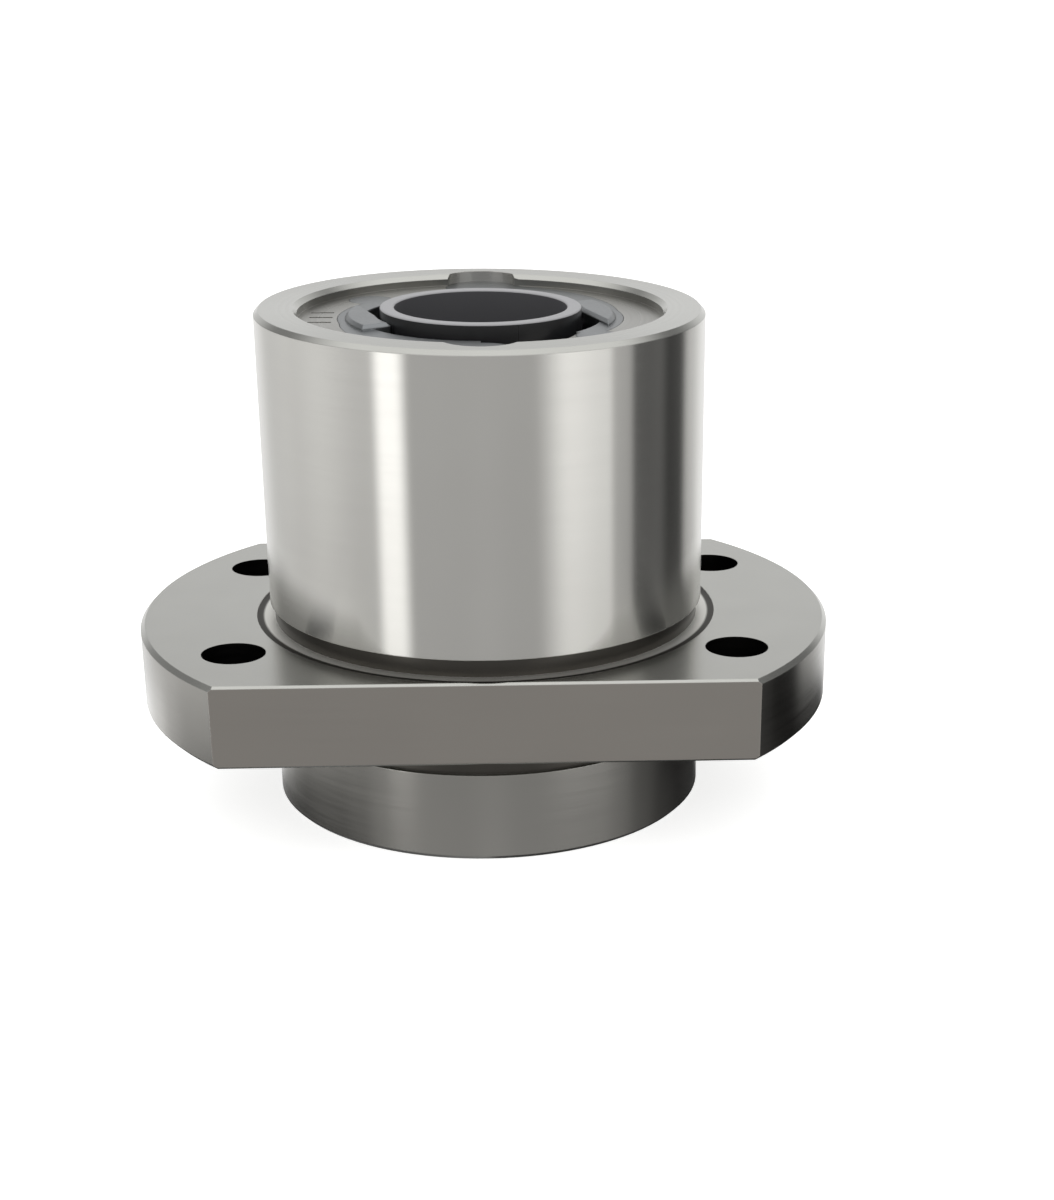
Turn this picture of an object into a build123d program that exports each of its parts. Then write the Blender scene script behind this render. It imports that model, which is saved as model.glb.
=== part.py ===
# Flanged ball screw nut with two starts, end deflectors and the tube it is stored on.
# Millimetres. Z is the nut axis. Z = 0 is the flange face that seats on the housing,
# and the body stands on the +Z side of it. The two flats of the flange face -Y and +Y.
import os
from math import acos, atan, cos, degrees, floor, hypot, pi, radians, sin, sqrt, tan

from build123d import *

# Screw thread: right-hand starts, one ball circuit in each
lead = 20.0
starts = 2
screw_radius = 10.0
ball_diameter = 3.175
ball_centre_rise = 0.375
ball_gap = 0.05
groove_clearance = 0.06
bore_clearance = 0.4

# Body, flange and pilot
body_radius = 19.5
flange_radius = 31.0
flange_thickness = 7.3
flange_across_flats = 41.8
pilot_radius = 19.4
pilot_height = 9.5
turned_chamfer = 0.4
flat_chamfer = 0.2

# Grinding reliefs beside the flange
relief_depth = 0.4
body_relief_height = 1.5
pilot_relief_height = 1.6
seat_relief_width = 1.25
seat_relief_depth = 0.4

# Flange bolt holes, and the lubrication port in the flange rim
bolt_circle_radius = 25.0
bolt_hole_radius = 2.75
bolt_angle = 30.0
port_tap_radius = 2.1
port_tap_depth = 8.0
port_drill_radius = 1.25

# End recesses and ball return holes
recess_margin = 1.4
recess_depth = 1.0
return_rise = 4.025
return_clearance = 0.2
return_angle = 90.0
end_length = 4.44

# End deflectors. Angles are degrees of turn before the return hole.
elbow_radius = 6.0
channel_clearance = 0.11
lobe_radius = 3.3
root_margin = 1.5
root_angle = 11.0
flank_inset = 0.5
flank_angle = 45.0
arm_width = 2.0
arm_angle = 130.0
shoulder_angle = 77.0
nose_radius = 2.0
nose_offset = 2.5
cover_thickness = 2.4
base_angle = 52.0
pocket_clearance = 0.04

# Raised finger of each deflector, beside the storage tube
finger_clearance = 0.2225
finger_overhang = 1.3
finger_root_angle = 58.0
finger_side_angle = 81.0
finger_tip_angle = 112.0
finger_rise = 0.45
finger_chamfer = 0.3

# Three marks stamped in the floor of the top recess
mark_inset = 2.0
mark_length = 2.0
mark_width = 0.4
mark_depth = 0.15
mark_spacing = 2.2

# Storage tube
tube_clearance = 0.06
tube_wall = 1.25

# Sizes that follow
start_letters = "abcdefgh"[:starts]
ball_radius = ball_diameter / 2
ball_circle_radius = screw_radius + ball_centre_rise
groove_radius = ball_radius + groove_clearance
bore_radius = screw_radius + bore_clearance
pitch_angle = degrees(atan(lead / (2 * pi * ball_circle_radius)))
return_hole_radius = ball_radius + return_clearance
channel_radius = ball_radius + channel_clearance
tube_radius = ball_circle_radius - ball_radius - tube_clearance
seat_relief_radius = body_radius + seat_relief_width
return_radius = ball_circle_radius + return_rise
recess_radius = return_radius + recess_margin
mark_radius = recess_radius - mark_inset
root_radius = return_radius + root_margin
flank_radius = return_radius - flank_inset
finger_inner_radius = tube_radius + finger_clearance
finger_outer_radius = bore_radius + finger_overhang

# A ball leaves the groove along its tangent, which meets the return hole after this turn
lift_turn = degrees(acos(ball_circle_radius / return_radius))
lift_reach = sqrt(return_radius**2 - ball_circle_radius**2)
lift_run = lift_reach - elbow_radius * (1 + sin(radians(pitch_angle)))
lift_rise = lift_run * tan(radians(pitch_angle))

# Each groove passes its return hole at mid length, and balls leave it one lead further on
lift_offset = lead * (1 - lift_turn / 360)
half_length = lift_offset + end_length
bottom = -flange_thickness - pilot_height
middle = bottom + half_length
top = middle + half_length
recess_floor = top - recess_depth
cover_floor = recess_floor - cover_thickness
base_floor = middle + lift_offset + lift_rise - elbow_radius * cos(radians(pitch_angle))

# Half a turn about the Y axis through mid length carries the top end onto the bottom end
other_end = Location((0, 0, 2 * middle), (0, 180, 0))


def polar(radius, angle, height=0.0):
    return Vector(radius * cos(radians(angle)), radius * sin(radians(angle)), height)


def start_angle(start):
    return return_angle + 360 * start / starts


def ring_point(radius, turn):
    # Where a deflector's outline passes, in degrees of turn before its return hole at +X
    return (radius * cos(radians(turn)), -radius * sin(radians(turn)))


def form_section(inner_radius):
    # Six straight sides about the circle, one of them flat across the radius
    RegularPolygon(inner_radius, 6, major_radius=False, rotation=30)


# Bore and grooves as one tool, which passes out of both ends of the nut
overrun = ball_diameter
core_length = 2 * half_length + 2 * overrun
core_angle = return_angle - 360 * (half_length + overrun) / lead
with BuildLine() as groove_path:
    Helix(pitch=lead, height=core_length, radius=ball_circle_radius)
groove_wire = groove_path.wires()[0]
with BuildPart() as groove_rod:
    with BuildSketch(Plane(origin=groove_wire @ 0, x_dir=(1, 0, 0), z_dir=groove_wire % 0)):
        form_section(groove_radius)
    sweep(path=groove_wire, is_frenet=True)
with BuildPart() as thread_core:
    with Locations((0, 0, core_length / 2)):
        Cylinder(bore_radius, core_length + 2 * overrun, rotation=(0, 0, 90))
    for start in range(starts):
        add(groove_rod.part.rotate(Axis.Z, 360 * start / starts))
thread_tool = thread_core.part.moved(Location((0, 0, bottom - overrun), (0, 0, core_angle)))

# Way of the balls in a deflector, for the hole at +X: the tangent rises, then an elbow turns
# down into the return hole. It lies in one upright plane.
lift_point = polar(ball_circle_radius, -lift_turn, middle + lift_offset)
lift_plane = Plane(
    origin=lift_point,
    x_dir=polar(1, 90 - lift_turn),
    z_dir=polar(1, -lift_turn),
)
with BuildLine(lift_plane) as turn_path:
    rise = Line((0, 0), (lift_run, lift_rise))
    JernArc(rise @ 1, rise % 1, elbow_radius, -90 - pitch_angle)
turn_wire = turn_path.wires()[0]
with BuildPart() as channel_cutter:
    with BuildSketch(Plane(origin=turn_wire @ 0, x_dir=lift_plane.z_dir, z_dir=turn_wire % 0)):
        form_section(channel_radius)
    sweep(path=turn_wire)

# The last stretch of the groove before the balls lift off, for the same deflector
entry_height = 2 * channel_radius
entry_angle = -lift_turn - 360 * entry_height / lead
with BuildLine() as entry_path:
    Helix(pitch=lead, height=entry_height, radius=ball_circle_radius)
entry_wire = entry_path.wires()[0].moved(
    Location((0, 0, middle + lift_offset - entry_height), (0, 0, entry_angle))
)
with BuildPart() as entry_cutter:
    entry_out = polar(1, entry_angle)
    with BuildSketch(Plane(origin=entry_wire @ 0, x_dir=entry_out, z_dir=entry_wire % 0)):
        form_section(channel_radius)
    sweep(path=entry_wire, is_frenet=True)


def ring_sector(inner, outer, first, last):
    # Corners of a sector between two turns, as arcs of the two radii
    half_way = (first + last) / 2
    ThreePointArc(ring_point(inner, first), ring_point(inner, half_way), ring_point(inner, last))
    Line(ring_point(inner, last), ring_point(outer, last))
    ThreePointArc(ring_point(outer, last), ring_point(outer, half_way), ring_point(outer, first))
    Line(ring_point(outer, first), ring_point(inner, first))


def deflector_outline(gap):
    # Comma seen along the axis: a lobe round the return hole, an arm beside the bore, a nose
    arm_radius = bore_radius + arm_width - gap
    with BuildSketch() as outline:
        with Locations((return_radius, 0)):
            Circle(lobe_radius - gap)
        with BuildLine():
            shoulder = ring_point(arm_radius, shoulder_angle)
            root = ring_point(root_radius - gap, root_angle)
            ThreePointArc(shoulder, ring_point(flank_radius - gap, flank_angle), root)
            Polyline(root, (return_radius, 0), (0, 0), shoulder)
        make_face()
        with BuildLine():
            ring_sector(screw_radius, arm_radius, shoulder_angle, arm_angle)
        make_face()
        with Locations(ring_point(bore_radius + nose_offset, arm_angle)):
            Circle(nose_radius - gap)
        Circle(bore_radius + gap, mode=Mode.SUBTRACT)
    return outline.sketch


# Deflectors of one end, drawn for the hole at +X, then placed at each hole and each end
deflector_places = {}
for start, letter in enumerate(start_letters):
    turned_start = Location((0, 0, 0), (0, 0, start_angle(start)))
    deflector_places[f"top_{letter}"] = turned_start
    deflector_places[f"bottom_{letter}"] = other_end * turned_start

with BuildSketch() as base_sector:
    with BuildLine():
        ring_sector(screw_radius, body_radius, -base_angle, base_angle)
    make_face()
with BuildPart() as pocket_cutter:
    with BuildSketch(Plane.XY.offset(cover_floor)):
        add(deflector_outline(0))
    extrude(amount=top - cover_floor)
    with BuildSketch(Plane.XY.offset(base_floor)):
        add(deflector_outline(0) & base_sector.sketch)
    extrude(amount=cover_floor - base_floor)

with BuildPart() as deflector_cover:
    with BuildSketch(Plane.XY.offset(cover_floor)):
        add(deflector_outline(pocket_clearance))
    extrude(amount=cover_thickness)
    with BuildSketch(Plane.XY.offset(cover_floor)):
        with BuildLine():
            half_way = (finger_root_angle + finger_side_angle) / 2
            inner_root = ring_point(finger_inner_radius, finger_root_angle)
            inner_end = ring_point(finger_inner_radius, finger_side_angle)
            tip = ring_point(finger_outer_radius, finger_tip_angle)
            outer_root = ring_point(finger_outer_radius, finger_root_angle)
            ThreePointArc(inner_root, ring_point(finger_inner_radius, half_way), inner_end)
            Line(inner_end, tip)
            ThreePointArc(tip, ring_point(finger_outer_radius, finger_side_angle), outer_root)
            Line(outer_root, inner_root)
        make_face()
    extrude(amount=cover_thickness + finger_rise)
    chamfer(deflector_cover.faces().sort_by(Axis.Z)[-1].edges(), finger_chamfer)
    add(channel_cutter.part, mode=Mode.SUBTRACT)
    add(entry_cutter.part, mode=Mode.SUBTRACT)

with BuildPart() as deflector_base:
    with BuildSketch(Plane.XY.offset(base_floor)):
        add(deflector_outline(pocket_clearance) & base_sector.sketch)
    extrude(amount=cover_floor - base_floor)
    add(channel_cutter.part, mode=Mode.SUBTRACT)
    add(entry_cutter.part, mode=Mode.SUBTRACT)

os.makedirs("parts", exist_ok=True)


# One piece of steel: body, flange and pilot turned together, with the threads ground inside
with BuildPart() as nut_body:
    with BuildSketch(Plane.XZ):
        with BuildLine():
            Polyline(
                (0, bottom),
                (pilot_radius - turned_chamfer, bottom),
                (pilot_radius, bottom + turned_chamfer),
                (pilot_radius, -flange_thickness - pilot_relief_height),
                (pilot_radius - relief_depth, -flange_thickness - pilot_relief_height),
                (pilot_radius - relief_depth, seat_relief_depth - flange_thickness),
                (seat_relief_radius, seat_relief_depth - flange_thickness),
                (seat_relief_radius, -flange_thickness),
                (flange_radius - turned_chamfer, -flange_thickness),
                (flange_radius, turned_chamfer - flange_thickness),
                (flange_radius, -turned_chamfer),
                (flange_radius - turned_chamfer, 0),
                (seat_relief_radius, 0),
                (seat_relief_radius, -seat_relief_depth),
                (body_radius - relief_depth, -seat_relief_depth),
                (body_radius - relief_depth, body_relief_height),
                (body_radius, body_relief_height),
                (body_radius, top - turned_chamfer),
                (body_radius - turned_chamfer, top),
                (0, top),
                close=True,
            )
        make_face()
    revolve(axis=Axis.Z)
    # The two flats of the flange, with their long edges broken
    half_flats = flange_across_flats / 2
    with BuildSketch(Plane.YZ):
        with BuildLine():
            Polyline(
                (half_flats - flat_chamfer, 0),
                (half_flats, -flat_chamfer),
                (half_flats, flat_chamfer - flange_thickness),
                (half_flats - flat_chamfer, -flange_thickness),
                (flange_radius, -flange_thickness),
                (flange_radius, 0),
                close=True,
            )
        make_face()
        mirror(about=Plane.YZ)
    extrude(amount=flange_radius, both=True, mode=Mode.SUBTRACT)
    # The shallow recess in each end face
    for end in (Location(), other_end):
        with Locations(end):
            with Locations((0, 0, top - recess_depth / 2)):
                Cylinder(recess_radius, recess_depth, mode=Mode.SUBTRACT)
    rim_edges = [
        edge
        for edge in nut_body.edges().filter_by(GeomType.CIRCLE)
        if abs(edge.radius - recess_radius) < 0.001
        and min(abs(edge.center().Z - top), abs(edge.center().Z - bottom)) < 0.001
    ]
    chamfer(rim_edges, turned_chamfer)
    # Three marks beside one deflector
    with Locations(*[(-mark_radius, step * mark_spacing, recess_floor) for step in (-1, 0, 1)]):
        Box(mark_length, mark_width, 2 * mark_depth, mode=Mode.SUBTRACT)
    # Bolt holes
    with Locations(*[
        polar(bolt_circle_radius, angle)
        for angle in (bolt_angle, 180 - bolt_angle, 180 + bolt_angle, -bolt_angle)
    ]):
        Cylinder(bolt_hole_radius, 2 * flange_thickness + 1, mode=Mode.SUBTRACT)
    # Lubrication port, from the flange rim into the bore
    with BuildSketch(Plane(origin=(flange_radius, 0, -flange_thickness / 2), z_dir=(1, 0, 0))):
        Circle(port_tap_radius)
    extrude(amount=-port_tap_depth, mode=Mode.SUBTRACT)
    with BuildSketch(Plane(origin=(flange_radius, 0, -flange_thickness / 2), z_dir=(1, 0, 0))):
        Circle(port_drill_radius)
    extrude(amount=bore_radius - flange_radius, mode=Mode.SUBTRACT)
    # Return holes
    with BuildSketch(Plane.XY.offset(bottom)):
        for start in range(starts):
            with Locations(polar(return_radius, start_angle(start))):
                Circle(return_hole_radius)
    extrude(amount=2 * half_length, mode=Mode.SUBTRACT)
    # Bore and threads run out through both end faces
    add(thread_tool, mode=Mode.SUBTRACT)
    # Pockets of the deflectors, open to the end faces and to the bore
    for place in deflector_places.values():
        add(pocket_cutter.part.moved(place), mode=Mode.SUBTRACT)
nut_body.part.label = "nut_body"
export_step(nut_body.part, "parts/nut_body.step")

for name, place in deflector_places.items():
    for piece, half in (("base", deflector_base), ("cover", deflector_cover)):
        solid = half.part.moved(place)
        solid.label = f"{name}_deflector_{piece}"
        export_step(solid, f"parts/{solid.label}.step")

# A ball in few faces: twenty triangles with their corners on the sphere
golden = (1 + sqrt(5)) / 2
corner_scale = ball_radius / hypot(1, golden)
ball_corners = []
for short_side in (-corner_scale, corner_scale):
    for long_side in (-golden * corner_scale, golden * corner_scale):
        ball_corners.append((0, short_side, long_side))
        ball_corners.append((short_side, long_side, 0))
        ball_corners.append((long_side, 0, short_side))
with BuildPart() as ball_form:
    ConvexPolyhedron(ball_corners)

# Balls, evenly spaced round each circuit
load_turn = 2 * lift_offset / lead * 360
load_length = load_turn / 360 * hypot(lead, 2 * pi * ball_circle_radius)
hole_length = 2 * (base_floor - middle)
circuit_length = load_length + 2 * turn_wire.length + hole_length
ball_count = floor(circuit_length / (ball_diameter + ball_gap))


def load_point(length):
    rise = length / load_length * 2 * lift_offset - lift_offset
    return polar(ball_circle_radius, 360 * rise / lead, middle + rise)


def turn_point(length):
    return turn_wire.position_at(length, position_mode=PositionMode.LENGTH)


def hole_point(length):
    return Vector(return_radius, 0, base_floor - length)


def lower_turn_point(length):
    upper = turn_point(turn_wire.length - length)
    return Vector(upper.X, -upper.Y, 2 * middle - upper.Z)


stretches = {
    "load_balls": (load_length, load_point),
    "top_turn_balls": (turn_wire.length, turn_point),
    "return_balls": (hole_length, hole_point),
    "bottom_turn_balls": (turn_wire.length, lower_turn_point),
}
spacing = circuit_length / ball_count
print("balls in each circuit", ball_count, "gap", round(spacing - ball_diameter, 3))
passed = 0.0
next_ball = spacing / 2
for name, (length, point) in stretches.items():
    centres = []
    while next_ball < passed + length:
        centres.append(point(next_ball - passed))
        next_ball += spacing
    passed += length
    with BuildPart() as balls:
        with Locations(*centres):
            add(ball_form.part)
    for start, letter in enumerate(start_letters):
        row = balls.part.rotate(Axis.Z, start_angle(start))
        row.label = f"{name}_{letter}"
        export_step(row, f"parts/{row.label}.step")

with BuildPart() as arbor_tube:
    with BuildSketch(Plane.XY.offset(bottom)):
        Circle(tube_radius)
        Circle(tube_radius - tube_wall, mode=Mode.SUBTRACT)
    extrude(amount=2 * half_length)
arbor_tube.part.label = "arbor_tube"
export_step(arbor_tube.part, "parts/arbor_tube.step")
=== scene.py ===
import bpy
import bmesh
import math
from mathutils import Matrix, Vector


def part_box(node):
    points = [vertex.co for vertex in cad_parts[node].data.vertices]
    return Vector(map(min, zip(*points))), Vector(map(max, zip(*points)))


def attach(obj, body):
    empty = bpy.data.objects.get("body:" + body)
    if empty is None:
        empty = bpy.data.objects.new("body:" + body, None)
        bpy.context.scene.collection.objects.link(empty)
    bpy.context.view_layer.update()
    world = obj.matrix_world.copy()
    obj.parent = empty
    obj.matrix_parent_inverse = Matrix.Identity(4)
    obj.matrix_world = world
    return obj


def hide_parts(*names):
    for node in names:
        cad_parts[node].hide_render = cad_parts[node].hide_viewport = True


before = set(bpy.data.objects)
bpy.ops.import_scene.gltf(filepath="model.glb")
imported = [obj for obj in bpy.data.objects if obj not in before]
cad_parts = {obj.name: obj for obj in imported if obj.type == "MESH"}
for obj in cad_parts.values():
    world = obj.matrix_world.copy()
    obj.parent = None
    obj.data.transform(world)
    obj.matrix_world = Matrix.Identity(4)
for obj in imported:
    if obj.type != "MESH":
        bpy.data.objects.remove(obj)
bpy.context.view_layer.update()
mm = 0.001
levelSlope = 0.5    # a face whose normal rises more than this counts as level


# Colours, nodes and meshes
def linearColour(hexCode):
    # sRGB hex to the linear values that Blender's sockets take
    channels = [int(hexCode[i:i + 2], 16) / 255 for i in (0, 2, 4)]
    linear = [c / 12.92 if c <= 0.04045 else ((c + 0.055) / 1.055) ** 2.4 for c in channels]
    return (*linear, 1.0)


def addNode(tree, kind, settings=None, links=None, values=None):
    # settings are node properties, links join other nodes' outputs, values fill sockets
    node = tree.nodes.new(kind)
    for name, value in (settings or {}).items():
        setattr(node, name, value)
    for socket, value in (values or {}).items():
        node.inputs[socket].default_value = value
    for socket, source in (links or {}).items():
        tree.links.new(source, node.inputs[socket])
    return node


def newMaterial(name, colour, roughness, metallic=0.0):
    material = bpy.data.materials.new(name)
    material.use_nodes = True
    tree = material.node_tree
    tree.nodes.clear()
    shader = addNode(tree, "ShaderNodeBsdfPrincipled", values={
        "Base Color": linearColour(colour), "Roughness": roughness, "Metallic": metallic})
    addNode(tree, "ShaderNodeOutputMaterial", links={"Surface": shader.outputs["BSDF"]})
    return material, tree, shader


def addPiece(name, mesh):
    piece = bpy.data.objects.new(name, mesh)
    bpy.context.scene.collection.objects.link(piece)
    return piece


def weldedCopy(nodeName, pieceName, sharpAngle, gap=0.0001 * mm):
    # A node's mesh comes as loose triangles; the copy is joined up and shaded smooth
    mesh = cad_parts[nodeName].data.copy()
    mesh.materials.clear()
    if "custom_normal" in mesh.attributes:
        mesh.attributes.remove(mesh.attributes["custom_normal"])
    shape = bmesh.new()
    shape.from_mesh(mesh)
    bmesh.ops.remove_doubles(shape, verts=shape.verts, dist=gap)
    bmesh.ops.dissolve_degenerate(shape, edges=shape.edges, dist=gap)
    for face in shape.faces:
        face.smooth = True
    shape.to_mesh(mesh)
    shape.free()
    mesh.set_sharp_from_angle(angle=math.radians(sharpAngle))
    return addPiece(pieceName, mesh)


def grownMesh(name, tree, settings, mesh=None):
    # Runs a Geometry Nodes tree on a carrier object and keeps the result as a plain mesh
    carrier = addPiece(name + "Carrier", mesh or bpy.data.meshes.new(name + "Carrier"))
    modifier = carrier.modifiers.new("grow", "NODES")
    modifier.node_group = tree
    for item in tree.interface.items_tree:
        if item.in_out == "INPUT" and item.name in settings:
            modifier[item.identifier] = settings[item.name]
    bpy.context.view_layer.update()
    ready = carrier.evaluated_get(bpy.context.evaluated_depsgraph_get())
    grown = bpy.data.meshes.new_from_object(ready)
    carrier.modifiers.remove(modifier)
    bpy.data.objects.remove(carrier)
    return addPiece(name, grown)


def nodeTree(name, inputs):
    tree = bpy.data.node_groups.new(name, "GeometryNodeTree")
    tree.interface.new_socket("Geometry", in_out="INPUT", socket_type="NodeSocketGeometry")
    for label, kind in inputs.items():
        tree.interface.new_socket(label, in_out="INPUT", socket_type="NodeSocket" + kind)
    tree.interface.new_socket("Geometry", in_out="OUTPUT", socket_type="NodeSocketGeometry")
    return tree, addNode(tree, "NodeGroupInput").outputs


# Camera, at the photograph's viewing angle
camera = {
    "place": (1.101 * mm, -190.327 * mm, 61.841 * mm),
    "turn": -4.421,       # degrees about Z, from looking along +Y
    "lookDown": 23.134,
    "roll": 0.679,
    "lens": 65.108,
    "sensor": 36.0,
    "shiftRight": 130,    # pixels of the 1054 x 1200 frame by which the picture is off its centre
    "shiftDown": 200,
    "frameHeight": 1200,
    "clip": (0.01, 20),
}


def makeCamera():
    data = bpy.data.cameras.new("photoCamera")
    data.sensor_width = camera["sensor"]
    data.lens = camera["lens"]
    data.shift_x = -camera["shiftRight"] / camera["frameHeight"]
    data.shift_y = camera["shiftDown"] / camera["frameHeight"]
    data.clip_start, data.clip_end = camera["clip"]
    holder = addPiece("photoCamera", data)
    turn, down, roll = (math.radians(camera[k]) for k in ("turn", "lookDown", "roll"))
    back = Vector((math.sin(turn) * math.cos(down), -math.cos(turn) * math.cos(down),
                   math.sin(down)))
    right = Vector((0, 0, 1)).cross(back).normalized()
    up = back.cross(right)
    rolledRight = right * math.cos(roll) + up * math.sin(roll)
    rolledUp = up * math.cos(roll) - right * math.sin(roll)
    holder.matrix_world = Matrix((
        (rolledRight.x, rolledUp.x, back.x, camera["place"][0]),
        (rolledRight.y, rolledUp.y, back.y, camera["place"][1]),
        (rolledRight.z, rolledUp.z, back.z, camera["place"][2]),
        (0, 0, 0, 1),
    ))
    bpy.context.scene.camera = holder


# Studio: rings of soft panels round the nut, as (compass angle, brightness). 0 is the front and
# 90 the right. Level faces mirror the ceiling ring, the body the wall ring, the flange's rim the
# skirting ring and the low collar of the nut the table ring.
studio = {
    "overhead": 1.1,    # brightness straight above
    "ceiling": [
        (-180, 0.86), (-150, 0.70), (-138, 0.35), (-108, 0.35), (-90, 0.62), (0, 0.60),
        (84, 0.66), (96, 0.22), (132, 0.22), (150, 0.86),
    ],
    "wall": [
        (-180, 0.60), (-168, 0.94), (-153, 0.90), (-136, 0.74), (-112, 0.88), (-87, 1.02),
        (-58, 0.82), (-51, 2.20), (-44, 2.20), (-36, 0.52), (24, 0.50), (44, 1.50), (66, 1.22),
        (71, 0.60), (79, 0.54), (84, 0.06), (102, 0.14), (110, 0.05), (121, 0.08), (132, 0.66),
        (155, 0.95),
    ],
    "skirting": [
        (-180, 0.60), (-160, 1.16), (-140, 1.02), (-129, 0.73), (-118, 0.58), (-108, 0.62),
        (-60, 0.40), (0, 0.28), (60, 0.34), (96, 0.10), (112, 0.00), (152, 0.00), (158, 0.10),
        (164, 0.50), (170, 1.00),
    ],
    "table": [
        (-180, 0.30), (-140, 0.02), (-126, 0.02), (-90, 0.07), (-75, 0.15), (-61, 0.31),
        (-48, 0.42), (-16, 0.42), (1, 0.47), (18, 0.41), (61, 0.34), (75, 0.27), (90, 0.16),
        (108, 0.08), (131, 0.04), (158, 0.05),
    ],
    # Upward slopes: where the ceiling begins and ends its fade and what is left of it, and
    # between which slopes each ring passes into the next
    "ceilingFade": (0.15, 0.36, 0.80),
    "ceilingToOverhead": (0.50, 0.80),
    "wallToCeiling": (-0.03, 0.03),
    "skirtingToWall": (-0.347, -0.327),
    "tableToSkirting": (-0.382, -0.368),
    "backdrop": 1.0,    # what the camera sees behind the nut
}


def ringColour(tree, azimuth, stops):
    # The stops are compass angles from -180 to 180, and the ramp runs from 0 to 1
    ramp = addNode(tree, "ShaderNodeValToRGB", links={"Fac": azimuth})
    band = ramp.color_ramp
    band.interpolation = "EASE"
    while len(band.elements) < len(stops):
        band.elements.new(0.5)
    for index, (angle, brightness) in enumerate(stops):
        band.elements[index].position = 0.5 + angle / 360
        band.elements[index].color = (brightness, brightness, brightness, 1)
    return ramp.outputs["Color"]


def makeStudio():
    world = bpy.data.worlds.new("studio")
    bpy.context.scene.world = world
    world.use_nodes = True
    tree = world.node_tree
    tree.nodes.clear()
    place = addNode(tree, "ShaderNodeTexCoord")
    direction = addNode(tree, "ShaderNodeSeparateXYZ",
                        links={0: place.outputs["Generated"]}).outputs
    # Compass angle of the direction, with one turn as 0 to 1
    toFront = addNode(tree, "ShaderNodeMath", {"operation": "MULTIPLY"},
                      {0: direction["Y"]}, {1: -1.0})
    angle = addNode(tree, "ShaderNodeMath", {"operation": "ARCTAN2"},
                    {0: direction["X"], 1: toFront.outputs[0]})
    azimuth = addNode(tree, "ShaderNodeMath", {"operation": "MULTIPLY_ADD"},
                      {0: angle.outputs[0]}, {1: 1 / math.tau, 2: 0.5}).outputs[0]
    slope = direction["Z"]
    # The ceiling dims towards its top
    firstSlope, lastSlope, left = studio["ceilingFade"]
    fade = addNode(tree, "ShaderNodeMapRange", links={0: slope},
                   values={1: firstSlope, 2: lastSlope, 3: 1.0, 4: left})
    ceiling = addNode(tree, "ShaderNodeVectorMath", {"operation": "SCALE"},
                      {0: ringColour(tree, azimuth, studio["ceiling"]), "Scale": fade.outputs[0]})
    overhead = addNode(tree, "ShaderNodeRGB").outputs[0]
    overhead.default_value = (studio["overhead"],) * 3 + (1,)
    # From the lowest ring upwards, each one passes into the next
    rings = ringColour(tree, azimuth, studio["table"])
    for upper, limits in ((ringColour(tree, azimuth, studio["skirting"]), "tableToSkirting"),
                          (ringColour(tree, azimuth, studio["wall"]), "skirtingToWall"),
                          (ceiling.outputs[0], "wallToCeiling"),
                          (overhead, "ceilingToOverhead")):
        rise = addNode(tree, "ShaderNodeMapRange", {"interpolation_type": "SMOOTHSTEP"},
                       {0: slope}, {1: studio[limits][0], 2: studio[limits][1]})
        rings = addNode(tree, "ShaderNodeMix", {"data_type": "RGBA"},
                        {0: rise.outputs[0], 6: rings, 7: upper}).outputs[2]
    path = addNode(tree, "ShaderNodeLightPath")
    seen = addNode(tree, "ShaderNodeMix", {"data_type": "RGBA"},
                   {0: path.outputs["Is Camera Ray"], 6: rings},
                   {7: (studio["backdrop"],) * 3 + (1,)})
    glow = addNode(tree, "ShaderNodeBackground", links={"Color": seen.outputs[2]})
    addNode(tree, "ShaderNodeOutputWorld", links={"Surface": glow.outputs[0]})
    bpy.context.scene.view_settings.view_transform = "Standard"


floor = {
    "halfSize": 3.0,
    "colour": "f4f4f2",
    "roughness": 0.9,
    "glow": 0.72,    # lifts the sheet to white, and leaves the nut a soft shadow
}


def makeFloor():
    # White sheet under the nut. Reflections leave it out, so the steel mirrors the panels.
    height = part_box("nut_body")[0].z
    reach = floor["halfSize"]
    mesh = bpy.data.meshes.new("whiteSheet")
    corners = [(x * reach, y * reach, height) for x, y in ((-1, -1), (1, -1), (1, 1), (-1, 1))]
    mesh.from_pydata(corners, [], [(0, 1, 2, 3)])
    sheet = addPiece("whiteSheet", mesh)
    # Plain uncoated paper: white and without any shine
    material, tree, shader = newMaterial("mattePaper", floor["colour"], floor["roughness"])
    shader.inputs["Emission Color"].default_value = (1, 1, 1, 1)
    shader.inputs["Emission Strength"].default_value = floor["glow"]
    mesh.materials.append(material)
    sheet.visible_glossy = False


# Steel finishes. Every steel has machining lines, a slow cloud in its tone, a slight waviness of
# the surface and edges that are broken by a stone. This is what they share.
steelPattern = {
    "lineDetail": 2.0,
    "lineRoughness": 0.6,
    "cloudDetail": 2.0,
    "noiseRange": (0.3, 0.7),    # most of a noise lies between these
    "waveStrength": 1.0,
    "bevelSamples": 4,
}


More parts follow.
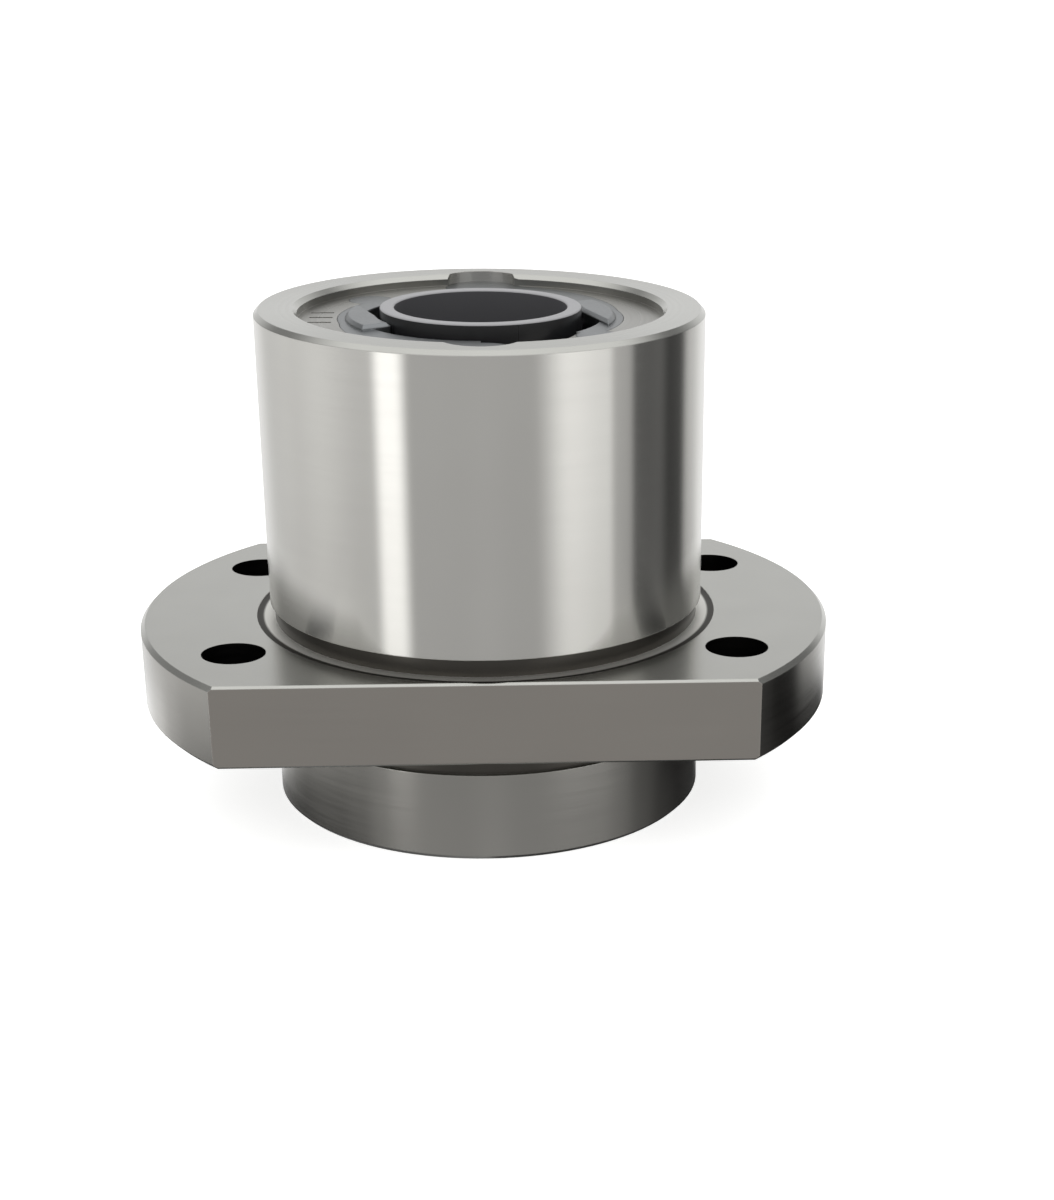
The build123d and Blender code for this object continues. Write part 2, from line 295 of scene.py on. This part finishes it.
def machinedSteel(name, look):
    material, tree, shader = newMaterial(name, look["colour"], look["roughness"], 1.0)
    shader.inputs["Anisotropic"].default_value = look["smear"]
    place = addNode(tree, "ShaderNodeTexCoord").outputs["Object"]
    if look["lines"] == "rings":
        # Lines at a constant distance from the axis, as a lathe leaves on a level face
        parts = addNode(tree, "ShaderNodeSeparateXYZ", links={0: place}).outputs
        flat = addNode(tree, "ShaderNodeCombineXYZ", links={0: parts[0], 1: parts[1]})
        radius = addNode(tree, "ShaderNodeVectorMath", {"operation": "LENGTH"},
                         {0: flat.outputs[0]})
        pattern = addNode(tree, "ShaderNodeCombineXYZ",
                          links={0: radius.outputs["Value"]}).outputs[0]
        across = flat
    else:
        # Lines that run along the stretched directions
        pattern = addNode(tree, "ShaderNodeMapping", links={"Vector": place},
                          values={"Scale": look["lines"]}).outputs[0]
        across = addNode(tree, "ShaderNodeCombineXYZ", values={2: 1.0})
    lines = addNode(tree, "ShaderNodeTexNoise", links={"Vector": pattern},
                    values={"Scale": 1 / look["lineSpacing"], "Detail": steelPattern["lineDetail"],
                            "Roughness": steelPattern["lineRoughness"]})
    cloud = addNode(tree, "ShaderNodeTexNoise", links={"Vector": place},
                    values={"Scale": 1 / look["cloudSize"], "Detail": steelPattern["cloudDetail"]})
    tone = addNode(tree, "ShaderNodeMix", {"data_type": "RGBA"}, {0: cloud.outputs["Fac"]},
                   {6: linearColour(look["colour"]), 7: linearColour(look["shade"])})
    if "corner" in look:
        # Painted shade: the floor darkens to a dark ring towards its outer edge, where the step
        # throws its shadow
        shadeRing = addNode(tree, "ShaderNodeMapRange", links={0: radius.outputs["Value"]},
                       values={1: look["corner"][0], 2: look["corner"][1]})
        tone = addNode(tree, "ShaderNodeMix", {"data_type": "RGBA"},
                       {0: shadeRing.outputs[0], 6: tone.outputs[2]},
                       {7: linearColour(look["cornerColour"])})
    low, high = steelPattern["noiseRange"]
    polish = addNode(tree, "ShaderNodeMapRange", links={0: lines.outputs["Fac"]},
                     values={1: low, 2: high, 3: look["roughness"] * (1 - look["polishSpread"]),
                             4: look["roughness"] * (1 + look["polishSpread"])})
    broken = addNode(tree, "ShaderNodeBevel", {"samples": steelPattern["bevelSamples"]},
                     values={"Radius": look["brokenEdge"]})
    wave = addNode(tree, "ShaderNodeBump",
                   links={"Height": cloud.outputs["Fac"], "Normal": broken.outputs[0]},
                   values={"Strength": steelPattern["waveStrength"], "Distance": look["waveDepth"]})
    grooves = addNode(tree, "ShaderNodeBump",
                      links={"Height": lines.outputs["Fac"], "Normal": wave.outputs[0]},
                      values={"Strength": look["lineStrength"], "Distance": look["lineDepth"]})
    tree.links.new(tone.outputs[2], shader.inputs["Base Color"])
    tree.links.new(polish.outputs[0], shader.inputs["Roughness"])
    tree.links.new(grooves.outputs[0], shader.inputs["Normal"])
    tree.links.new(across.outputs[0], shader.inputs["Tangent"])
    return material


# Nut body: through-hardened bearing steel, ground outside. All machining lines are drawn coarser
# than the real 0.02 mm, which would not show.
nutBody = {
    "sharpAngle": 32,
    # Where one finish ends and the next begins
    "boreRadius": 12.35 * mm,
    "recessRadius": 15.9 * mm,
    "recessDepth": 1.0 * mm,
    "neckRadii": (18.6 * mm, 19.3 * mm),
    "reliefEdge": 20.9 * mm,
    "reliefFloor": -0.4 * mm,
    "reliefShown": -0.10 * mm,
    "rimTop": -0.2 * mm,
    "flatDistance": 20.9 * mm,
    "boltCircle": 25.0 * mm,
    "boltAngle": 30,    # degrees either side of X
    "holeReach": 2.9 * mm,
    "flatSlack": 0.05 * mm,
    "levelSlack": 0.01 * mm,
    "finishes": {
        # Cylindrical grinding: sharp round the nut, but smeared along it by the grinding lines
        "cylinderGroundSteel": {
            "colour": "dbdad5", "shade": "d6d4cf", "roughness": 0.20, "smear": 1.0,
            "polishSpread": 0.03, "lines": (0.03, 0.03, 1.0), "lineSpacing": 0.35 * mm,
            "lineStrength": 0.03, "lineDepth": 0.002 * mm, "cloudSize": 9 * mm,
            "waveDepth": 0.005 * mm, "brokenEdge": 0.10 * mm},
        # Faced on the lathe and fine ground: paler, with rings too fine to see one by one
        "facedSteel": {
            "colour": "c7c7c2", "shade": "bdbdb8", "roughness": 0.22, "smear": 0.7,
            "polishSpread": 0.12, "lines": "rings", "lineSpacing": 0.30 * mm,
            "lineStrength": 0.10, "lineDepth": 0.004 * mm, "cloudSize": 7 * mm,
            "waveDepth": 0.010 * mm, "brokenEdge": 0.10 * mm},
        # Fine turned rim and collar of the flange: darker than the ground body
        "turnedSteel": {
            "colour": "b4b2ac", "shade": "aeaca7", "roughness": 0.15, "smear": 0.0,
            "polishSpread": 0.10, "lines": (0.03, 0.03, 1.0), "lineSpacing": 0.35 * mm,
            "lineStrength": 0.06, "lineDepth": 0.002 * mm, "cloudSize": 9 * mm,
            "waveDepth": 0.006 * mm, "brokenEdge": 0.10 * mm},
        # Necks beside the flange: turned before hardening and never ground, and painted dark as the
        # shade in the undercut beneath the body
        "hardenedSteelPaintedShade": {
            "colour": "5b5853", "shade": "4c4a46", "roughness": 0.34, "smear": 0.4,
            "polishSpread": 0.15, "lines": (0.03, 0.03, 1.0), "lineSpacing": 0.35 * mm,
            "lineStrength": 0.15, "lineDepth": 0.004 * mm, "cloudSize": 6 * mm,
            "waveDepth": 0.004 * mm, "brokenEdge": 0.08 * mm},
        # Floor of the relief at the foot of the body: bead blasted; its pale colour is a painted
        # highlight along the step, with a painted shade ring at its outer edge
        "blastedSteelPaintedHighlightAndShade": {
            "colour": "f0efea", "shade": "e6e5e0", "roughness": 0.50, "smear": 0.0,
            "polishSpread": 0.10, "lines": "rings", "lineSpacing": 0.30 * mm,
            "lineStrength": 0.10, "lineDepth": 0.004 * mm, "cloudSize": 6 * mm,
            "waveDepth": 0.004 * mm, "brokenEdge": 0.08 * mm,
            # Painted shade: between these radii the floor darkens outwards to the shade colour
            "corner": (20.02 * mm, 20.22 * mm), "cornerColour": "45433f"},
        # Floor of the end recesses: faced, and painted darker than the ground rim as the shade
        # inside the recess
        "recessSteelPaintedShade": {
            "colour": "aaa9a4", "shade": "9b9a95", "roughness": 0.30, "smear": 0.5,
            "polishSpread": 0.15, "lines": "rings", "lineSpacing": 0.30 * mm,
            "lineStrength": 0.15, "lineDepth": 0.004 * mm, "cloudSize": 5 * mm,
            "waveDepth": 0.012 * mm, "brokenEdge": 0.08 * mm},
        # Milled flats of the flange, then ground: satin, slightly warm
        "milledSteel": {
            "colour": "aea9a2", "shade": "a7a29c", "roughness": 0.33, "smear": 0.3,
            "polishSpread": 0.15, "lines": (0.04, 1.0, 1.0), "lineSpacing": 0.5 * mm,
            "lineStrength": 0.15, "lineDepth": 0.004 * mm, "cloudSize": 12 * mm,
            "waveDepth": 0.006 * mm, "brokenEdge": 0.12 * mm},
        # Bore, thread and pockets: hardened, oiled and in shade
        "threadSteel": {
            "colour": "9a9894", "shade": "8b8985", "roughness": 0.28, "smear": 0.5,
            "polishSpread": 0.15, "lines": (0.05, 0.05, 1.0), "lineSpacing": 0.3 * mm,
            "lineStrength": 0.10, "lineDepth": 0.004 * mm, "cloudSize": 6 * mm,
            "waveDepth": 0.004 * mm, "brokenEdge": 0.08 * mm},
        # Drilled bolt holes: dark oxide from heat treatment is left on the walls
        "drilledSteel": {
            "colour": "2c2a28", "shade": "1f1e1d", "roughness": 0.45, "smear": 0.0,
            "polishSpread": 0.15, "lines": (0.1, 0.1, 1.0), "lineSpacing": 0.3 * mm,
            "lineStrength": 0.20, "lineDepth": 0.010 * mm, "cloudSize": 3 * mm,
            "waveDepth": 0.004 * mm, "brokenEdge": 0.05 * mm},
    },
}


def raiseRelief(mesh):
    # The floor of the CAD's relief at the foot of the body is deeper than the photograph's
    for corner in mesh.vertices:
        radius = math.hypot(corner.co.x, corner.co.y)
        if (nutBody["neckRadii"][0] < radius < nutBody["reliefEdge"]
                and abs(corner.co.z - nutBody["reliefFloor"]) < nutBody["levelSlack"]):
            corner.co.z = nutBody["reliefShown"]
    mesh.update()


def finishOf(centre, normal, low, high):
    # The finish of a face of the nut body, by where it is and which way it faces
    radius = math.hypot(centre.x, centre.y)
    level = abs(normal.z) > levelSlope
    depth = min(high.z - centre.z, centre.z - low.z)
    boltAngle = math.radians(nutBody["boltAngle"])
    fromHole = math.hypot(abs(centre.x) - nutBody["boltCircle"] * math.cos(boltAngle),
                          abs(centre.y) - nutBody["boltCircle"] * math.sin(boltAngle))
    if fromHole < nutBody["holeReach"] and not level:
        return "drilledSteel"
    if radius < nutBody["boreRadius"] and not level:
        return "threadSteel"
    if radius < nutBody["recessRadius"] and depth > nutBody["recessDepth"] / 2:
        return "recessSteelPaintedShade"
    if level:
        fromFloor = abs(centre.z - nutBody["reliefShown"])
        if radius < nutBody["reliefEdge"] and fromFloor < nutBody["levelSlack"]:
            return "blastedSteelPaintedHighlightAndShade"
        return "facedSteel"
    if abs(abs(centre.y) - nutBody["flatDistance"]) < nutBody["flatSlack"]:
        return "milledSteel"
    if nutBody["neckRadii"][0] < radius < nutBody["neckRadii"][1]:
        return "hardenedSteelPaintedShade"
    return "turnedSteel" if centre.z < nutBody["rimTop"] else "cylinderGroundSteel"


def makeNutBody():
    piece = weldedCopy("nut_body", "nutBody", nutBody["sharpAngle"])
    order = list(nutBody["finishes"])
    for name in order:
        piece.data.materials.append(machinedSteel(name, nutBody["finishes"][name]))
    raiseRelief(piece.data)
    low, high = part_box("nut_body")
    for face in piece.data.polygons:
        face.material_index = order.index(finishOf(face.center, face.normal, low, high))
    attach(piece, "nut")
    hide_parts("nut_body")


# Storage tube: extruded black polyethylene, sawn to length
arborTube = {
    "outerRadius": 8.7275 * mm,
    "wall": 1.25 * mm,
    "rimRound": 0.18 * mm,
    "rimSteps": 4,
    "segments": 128,
    "colour": "242426",
    "roughness": 0.3,
    "polishSpread": 0.2,
    "lineSpacing": 0.6 * mm,    # marks of the die, drawn coarser than they are
    "lineDetail": 2.0,
    "lineStretch": (1.0, 1.0, 0.03),
    "lineStrength": 0.15,
    "lineDepth": 0.02 * mm,
    # The rim's pale grey is a painted highlight
    "rimHighlightColour": "b6b6b8",
    "rimRoughness": 0.5,
    "grainSize": 0.25 * mm,
    "grainDetail": 3.0,
    "grainStrength": 0.3,
    "grainDepth": 0.03 * mm,
    # The bore is painted lighter than the outside, as light on its inner wall
    "paintedLightBoreColour": "58585b",
    "boreRoughness": 0.6,
}


def makeTubeTree():
    tree, given = nodeTree("tubeRing", {
        "Outer Radius": "Float", "Wall": "Float", "Length": "Float", "Base": "Float",
        "Rim Round": "Float", "Segments": "Int", "Material": "Material"})
    half = addNode(tree, "ShaderNodeMath", {"operation": "MULTIPLY"},
                   {0: given["Wall"]}, {1: 0.5})
    middle = addNode(tree, "ShaderNodeMath", {"operation": "SUBTRACT"},
                     {0: given["Outer Radius"], 1: half.outputs[0]})
    circle = addNode(tree, "GeometryNodeCurvePrimitiveCircle",
                     links={"Radius": middle.outputs[0], "Resolution": given["Segments"]})
    section = addNode(tree, "GeometryNodeCurvePrimitiveQuadrilateral",
                      links={"Width": given["Wall"], "Height": given["Length"]})
    rounded = addNode(tree, "GeometryNodeFilletCurve", {"mode": "POLY"},
                      {"Curve": section.outputs[0], "Radius": given["Rim Round"]},
                      {"Count": arborTube["rimSteps"]})
    ring = addNode(tree, "GeometryNodeCurveToMesh",
                   links={"Curve": circle.outputs[0], "Profile Curve": rounded.outputs[0]})
    centre = addNode(tree, "ShaderNodeMath", {"operation": "MULTIPLY_ADD"},
                     {0: given["Length"], 2: given["Base"]}, {1: 0.5})
    lift = addNode(tree, "ShaderNodeCombineXYZ", links={2: centre.outputs[0]})
    placed = addNode(tree, "GeometryNodeTransform",
                     links={"Geometry": ring.outputs[0], "Translation": lift.outputs[0]})
    smooth = addNode(tree, "GeometryNodeSetShadeSmooth", links={"Geometry": placed.outputs[0]})
    real = addNode(tree, "GeometryNodeRealizeInstances", links={"Geometry": smooth.outputs[0]})
    coated = addNode(tree, "GeometryNodeSetMaterial",
                     links={"Geometry": real.outputs[0], "Material": given["Material"]})
    addNode(tree, "NodeGroupOutput", links={0: coated.outputs[0]})
    return tree


def tubePlastic():
    # Black polyethylene from a die: an even, waxy gloss with faint lines along the tube
    roughness, spread = arborTube["roughness"], arborTube["polishSpread"]
    material, tree, shader = newMaterial("extrudedPolyethylene", arborTube["colour"], roughness)
    place = addNode(tree, "ShaderNodeTexCoord").outputs["Object"]
    drawn = addNode(tree, "ShaderNodeMapping", links={"Vector": place},
                    values={"Scale": arborTube["lineStretch"]})
    lines = addNode(tree, "ShaderNodeTexNoise", links={"Vector": drawn.outputs[0]},
                    values={"Scale": 1 / arborTube["lineSpacing"],
                            "Detail": arborTube["lineDetail"]})
    polish = addNode(tree, "ShaderNodeMapRange", links={0: lines.outputs["Fac"]},
                     values={3: roughness * (1 - spread), 4: roughness * (1 + spread)})
    bump = addNode(tree, "ShaderNodeBump", links={"Height": lines.outputs["Fac"]},
                   values={"Strength": arborTube["lineStrength"],
                           "Distance": arborTube["lineDepth"]})
    tree.links.new(polish.outputs[0], shader.inputs["Roughness"])
    tree.links.new(bump.outputs[0], shader.inputs["Normal"])
    return material


def rimPlastic():
    # Sawn across and grainy; its pale grey colour is a painted highlight along the rim
    material, tree, shader = newMaterial("sawnPolyethylenePaintedHighlight", arborTube["rimHighlightColour"],
                                         arborTube["rimRoughness"])
    place = addNode(tree, "ShaderNodeTexCoord").outputs["Object"]
    grain = addNode(tree, "ShaderNodeTexNoise", links={"Vector": place},
                    values={"Scale": 1 / arborTube["grainSize"],
                            "Detail": arborTube["grainDetail"]})
    bump = addNode(tree, "ShaderNodeBump", links={"Height": grain.outputs["Fac"]},
                   values={"Strength": arborTube["grainStrength"],
                           "Distance": arborTube["grainDepth"]})
    tree.links.new(bump.outputs[0], shader.inputs["Normal"])
    return material


def makeTube():
    low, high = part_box("arbor_tube")
    piece = grownMesh("arborTube", makeTubeTree(), {
        "Outer Radius": arborTube["outerRadius"], "Wall": arborTube["wall"],
        "Length": high.z - low.z, "Base": low.z, "Rim Round": arborTube["rimRound"],
        "Segments": arborTube["segments"], "Material": tubePlastic()})
    # Rougher inside than outside, so the bore shows no streak of light. Its grey, much lighter than
    # the black outside, is painted light on the inner wall
    bore = newMaterial("mattPolyethylenePaintedLight", arborTube["paintedLightBoreColour"], arborTube["boreRoughness"])[0]
    piece.data.materials.append(rimPlastic())
    piece.data.materials.append(bore)
    rimIndex, boreIndex = 1, 2
    for face in piece.data.polygons:
        if abs(face.normal.z) > levelSlope:
            face.material_index = rimIndex
        elif face.center.x * face.normal.x + face.center.y * face.normal.y < 0:
            face.material_index = boreIndex
    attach(piece, "arbor")
    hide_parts("arbor_tube")


# Deflectors: sintered steel, tumbled, which leaves a soft, slightly mottled grey. Pores and
# cloud are drawn coarser than they are, to show at this size.
deflector = {
    "sharpAngle": 30,
    "colour": "929597",
    "shade": "828587",
    "roughness": 0.34,
    "polishSpread": 0.2,
    "cloudSize": 4 * mm,
    "poreSize": 0.35 * mm,
    "poreDetail": 3.0,
    "poreStrength": 0.4,
    "poreDepth": 0.012 * mm,
    "brokenEdge": 0.18 * mm,
    "bevelSamples": 4,
}


def sinteredSteel():
    roughness, spread = deflector["roughness"], deflector["polishSpread"]
    material, tree, shader = newMaterial("sinteredSteel", deflector["colour"], roughness, 1.0)
    place = addNode(tree, "ShaderNodeTexCoord").outputs["Object"]
    pores = addNode(tree, "ShaderNodeTexNoise", links={"Vector": place},
                    values={"Scale": 1 / deflector["poreSize"],
                            "Detail": deflector["poreDetail"]})
    cloud = addNode(tree, "ShaderNodeTexNoise", links={"Vector": place},
                    values={"Scale": 1 / deflector["cloudSize"]})
    tone = addNode(tree, "ShaderNodeMix", {"data_type": "RGBA"}, {0: cloud.outputs["Fac"]},
                   {6: linearColour(deflector["colour"]), 7: linearColour(deflector["shade"])})
    polish = addNode(tree, "ShaderNodeMapRange", links={0: pores.outputs["Fac"]},
                     values={3: roughness * (1 - spread), 4: roughness * (1 + spread)})
    broken = addNode(tree, "ShaderNodeBevel", {"samples": deflector["bevelSamples"]},
                     values={"Radius": deflector["brokenEdge"]})
    bump = addNode(tree, "ShaderNodeBump",
                   links={"Height": pores.outputs["Fac"], "Normal": broken.outputs[0]},
                   values={"Strength": deflector["poreStrength"],
                           "Distance": deflector["poreDepth"]})
    tree.links.new(tone.outputs[2], shader.inputs["Base Color"])
    tree.links.new(polish.outputs[0], shader.inputs["Roughness"])
    tree.links.new(bump.outputs[0], shader.inputs["Normal"])
    return material


def makeDeflectors():
    steel = sinteredSteel()
    for name in sorted(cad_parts):
        if "deflector" not in name:
            continue
        piece = weldedCopy(name, name.replace("_", "-"), deflector["sharpAngle"])
        piece.data.materials.append(steel)
        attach(piece, "nut")
        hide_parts(name)


# Balls: lapped chrome steel. One smooth ball is set on every centre of the CAD's plain balls.
balls = {
    "diameter": 3.175 * mm,
    "roundness": 4,
    "colour": "d6d6d8",
    "roughness": 0.05,
    "oiledRoughness": 0.15,
    "filmSize": 2 * mm,
    "cornerGap": 0.001 * mm,    # loose corners of the CAD's balls that are this close are one
}


def makeBallTree():
    tree, given = nodeTree("ballRow", {
        "Diameter": "Float", "Roundness": "Int", "Material": "Material"})
    radius = addNode(tree, "ShaderNodeMath", {"operation": "MULTIPLY"},
                     {0: given["Diameter"]}, {1: 0.5})
    ball = addNode(tree, "GeometryNodeMeshIcoSphere",
                   links={"Radius": radius.outputs[0], "Subdivisions": given["Roundness"]})
    smooth = addNode(tree, "GeometryNodeSetShadeSmooth", links={"Geometry": ball.outputs["Mesh"]})
    row = addNode(tree, "GeometryNodeInstanceOnPoints",
                  links={"Points": given["Geometry"], "Instance": smooth.outputs[0]})
    real = addNode(tree, "GeometryNodeRealizeInstances", links={"Geometry": row.outputs[0]})
    coated = addNode(tree, "GeometryNodeSetMaterial",
                     links={"Geometry": real.outputs[0], "Material": given["Material"]})
    addNode(tree, "NodeGroupOutput", links={0: coated.outputs[0]})
    return tree


def ballCentres(nodeName):
    # Middles of the separate shells, found corner by corner in the mesh's own order
    shape = bmesh.new()
    shape.from_mesh(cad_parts[nodeName].data)
    bmesh.ops.remove_doubles(shape, verts=shape.verts, dist=balls["cornerGap"])
    shape.verts.index_update()
    centres = []
    seen = set()
    for first in shape.verts:
        if first.index in seen:
            continue
        seen.add(first.index)
        group = [first]
        for corner in group:
            for edge in corner.link_edges:
                other = edge.other_vert(corner)
                if other.index not in seen:
                    seen.add(other.index)
                    group.append(other)
        centres.append(sum((corner.co for corner in group), Vector()) / len(group))
    shape.free()
    return centres


def ballSteel():
    # Lapped to a mirror, dulled here and there by a film of oil
    material, tree, shader = newMaterial("lappedChromeSteel", balls["colour"],
                                         balls["roughness"], 1.0)
    place = addNode(tree, "ShaderNodeTexCoord").outputs["Object"]
    film = addNode(tree, "ShaderNodeTexNoise", links={"Vector": place},
                   values={"Scale": 1 / balls["filmSize"]})
    oil = addNode(tree, "ShaderNodeMapRange", links={0: film.outputs["Fac"]},
                  values={3: balls["roughness"], 4: balls["oiledRoughness"]})
    tree.links.new(oil.outputs[0], shader.inputs["Roughness"])
    return material


def makeBalls():
    tree = makeBallTree()
    steel = ballSteel()
    count = 0
    for name in sorted(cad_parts):
        if "balls" not in name:
            continue
        centres = ballCentres(name)
        points = bpy.data.meshes.new(name + "Points")
        points.from_pydata(centres, [], [])
        piece = grownMesh(name.replace("_", "-"), tree, {
            "Diameter": balls["diameter"], "Roundness": balls["roundness"],
            "Material": steel}, points)
        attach(piece, "nut")
        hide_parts(name)
        count += len(centres)
    print("balls", count)


makeCamera()
makeStudio()
makeFloor()
print("camera, studio and floor made")
makeNutBody()
print("nut body made")
makeTube()
print("tube made")
makeDeflectors()
print("deflectors made")
makeBalls()
